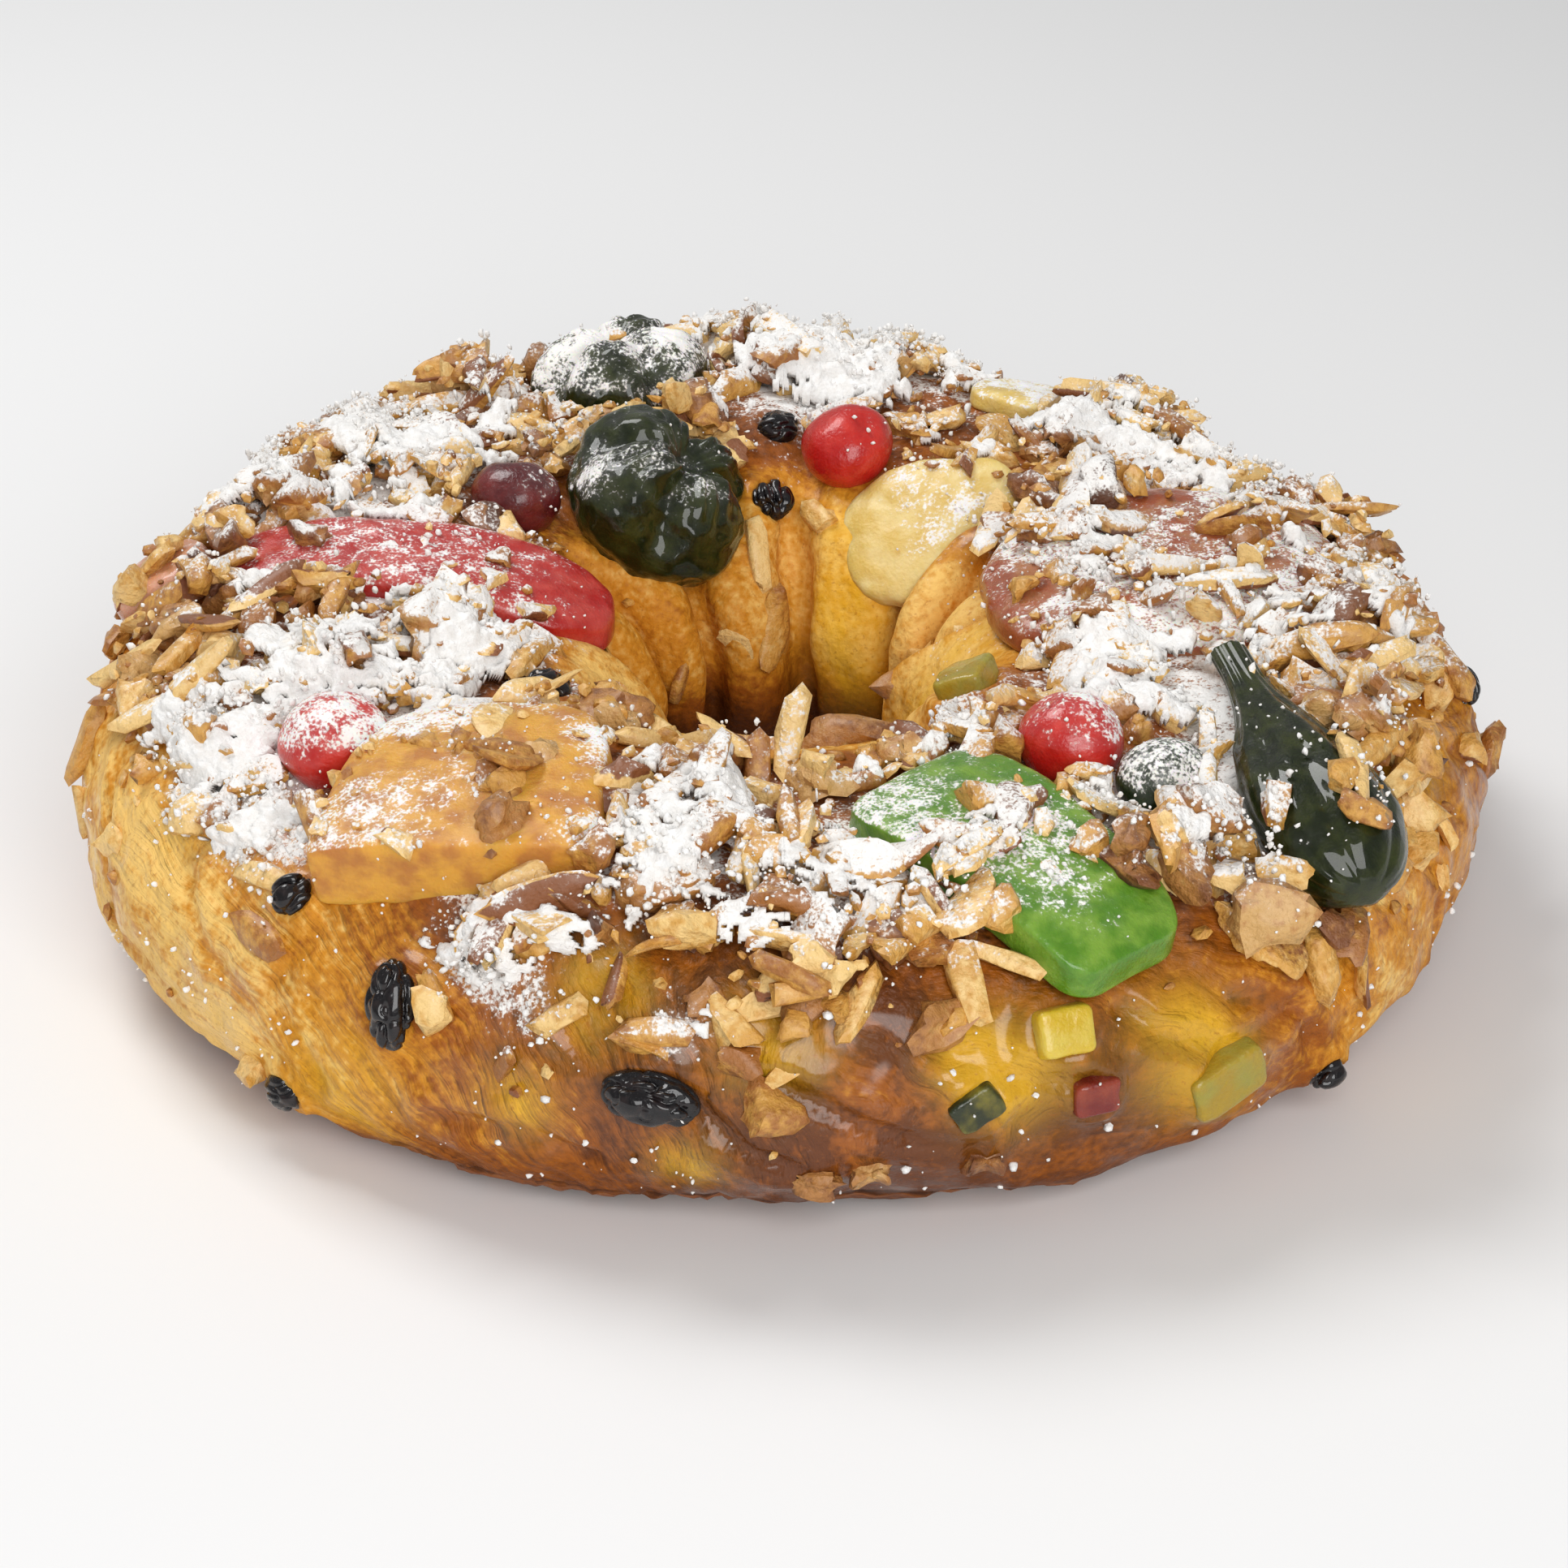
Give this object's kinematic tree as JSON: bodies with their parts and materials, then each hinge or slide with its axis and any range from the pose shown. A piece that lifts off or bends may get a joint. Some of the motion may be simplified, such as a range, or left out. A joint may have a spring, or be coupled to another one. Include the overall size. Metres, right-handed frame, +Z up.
{
  "type": "roscon de reyes",
  "caption": "Baked ring of sweet dough topped with candied fruit slices, cherries, figs, raisins, toasted nuts and icing sugar.",
  "frame": {"origin": "middle of the ring on the plane of its flat base", "axes": "+Z up through the ring's hole; -Y towards the side with the amber and green slices; +X towards the brown slice"},
  "size_m": [0.249, 0.2504, 0.0732],
  "materials": {
    "baked_dough": "golden-brown egg-glazed crust, paler where the dough has stretched",
    "red_cherry": "clear red candied cherry, dusted with sugar",
    "dark_cherry": "dark maroon candied cherry, dusted with sugar",
    "green_cherry": "very dark green candied cherry, thickly dusted with sugar",
    "red_slice": "clear red candied fruit, dusted with sugar on top",
    "rose_slice": "cloudy orange-pink candied fruit",
    "amber_slice": "clear amber candied fruit with a grainy cut face, dusted with sugar on top",
    "green_slice": "bright green candied fruit, dusted with sugar on top",
    "brown_slice": "red-brown candied fruit, thickly dusted with sugar",
    "pale_slice": "clear pale yellow candied fruit, dusted with sugar",
    "green_fig": "glossy, very dark green candied fig",
    "citron": "clear yellow-green candied citron",
    "lemon_peel": "clear yellow candied peel",
    "red_dice": "dark red candied fruit",
    "raisin": "black wrinkled raisin with a low gloss",
    "walnut": "toasted walnut, brown skin over pale flesh",
    "almond": "toasted almond, golden with a darker edge",
    "icing_sugar": "dry white icing sugar, in dust, grains and soft heaps"
  },
  "bodies": {
    "root": {"dough_ring": "baked_dough", "cherry_left": "red_cherry", "cherry_right": "red_cherry", "cherry_back": "red_cherry", "cherry_dark": "dark_cherry", "cherry_green": "green_cherry", "slice_red": "red_slice", "slice_rose": "rose_slice", "slice_amber": "amber_slice", "slice_green": "green_slice", "slice_brown": "brown_slice", "slice_pale": "pale_slice", "slice_pale_back": "pale_slice", "fig_back": "green_fig", "fig_inner": "green_fig", "fig_stalked": "green_fig", "dice_citron_inner": "citron", "dice_lemon_front": "lemon_peel", "dice_red_front": "red_dice", "dice_citron_side": "citron", "dice_citron_front": "citron", "dice_lemon_rear": "lemon_peel", "dice_red_rear": "red_dice", "raisin_front_left": "raisin", "raisin_front": "raisin", "raisin_crown_left": "raisin", "raisin_shoulder": "raisin", "raisin_base_left": "raisin", "raisin_back": "raisin", "raisin_hole": "raisin", "raisin_right": "raisin", "raisin_base_right": "raisin", "raisin_rear": "raisin", "raisin_rear_left": "raisin", "raisin_rear_right": "raisin", "walnut_front": "walnut", "walnut_left": "walnut", "walnut_back": "walnut", "walnut_back_left": "walnut", "almond_right": "almond", "almond_stick": "almond"}
  },
  "joints": []
}
